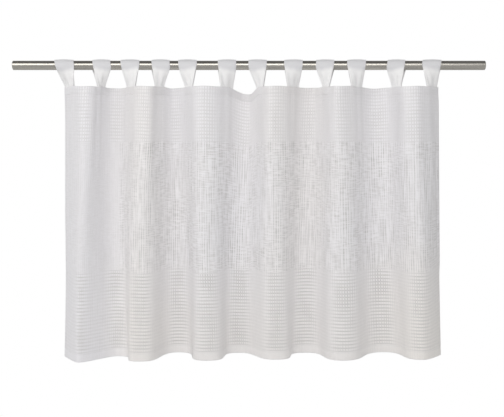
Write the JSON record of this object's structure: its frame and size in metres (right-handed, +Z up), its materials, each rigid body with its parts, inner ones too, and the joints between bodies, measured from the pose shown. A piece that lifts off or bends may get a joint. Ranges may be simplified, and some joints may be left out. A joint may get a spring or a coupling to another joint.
{
  "type": "tab top curtain on its rod",
  "caption": "Short white semi-sheer curtain with ribbed bands, hung in soft folds by cloth tabs from a straight round steel rod.",
  "frame": {"origin": "on the rod's axis, half way along the rod", "axes": "+X along the rod to the right as seen from the room, +Y away from the room, +Z up"},
  "size_m": [1.02, 0.0854, 0.6582],
  "materials": {
    "panel_cloth": "matte white semi-sheer weave with ribbed bands at the heading and the hem",
    "tab_cloth": "matte white plain weave",
    "rod_steel": "satin brushed along its length"
  },
  "bodies": {
    "root": {"panel": "panel_cloth", "rod": "rod_steel", "tab_01": "tab_cloth", "tab_02": "tab_cloth", "tab_03": "tab_cloth", "tab_04": "tab_cloth", "tab_05": "tab_cloth", "tab_06": "tab_cloth", "tab_07": "tab_cloth", "tab_08": "tab_cloth", "tab_09": "tab_cloth", "tab_10": "tab_cloth", "tab_11": "tab_cloth", "tab_12": "tab_cloth"}
  },
  "joints": []
}
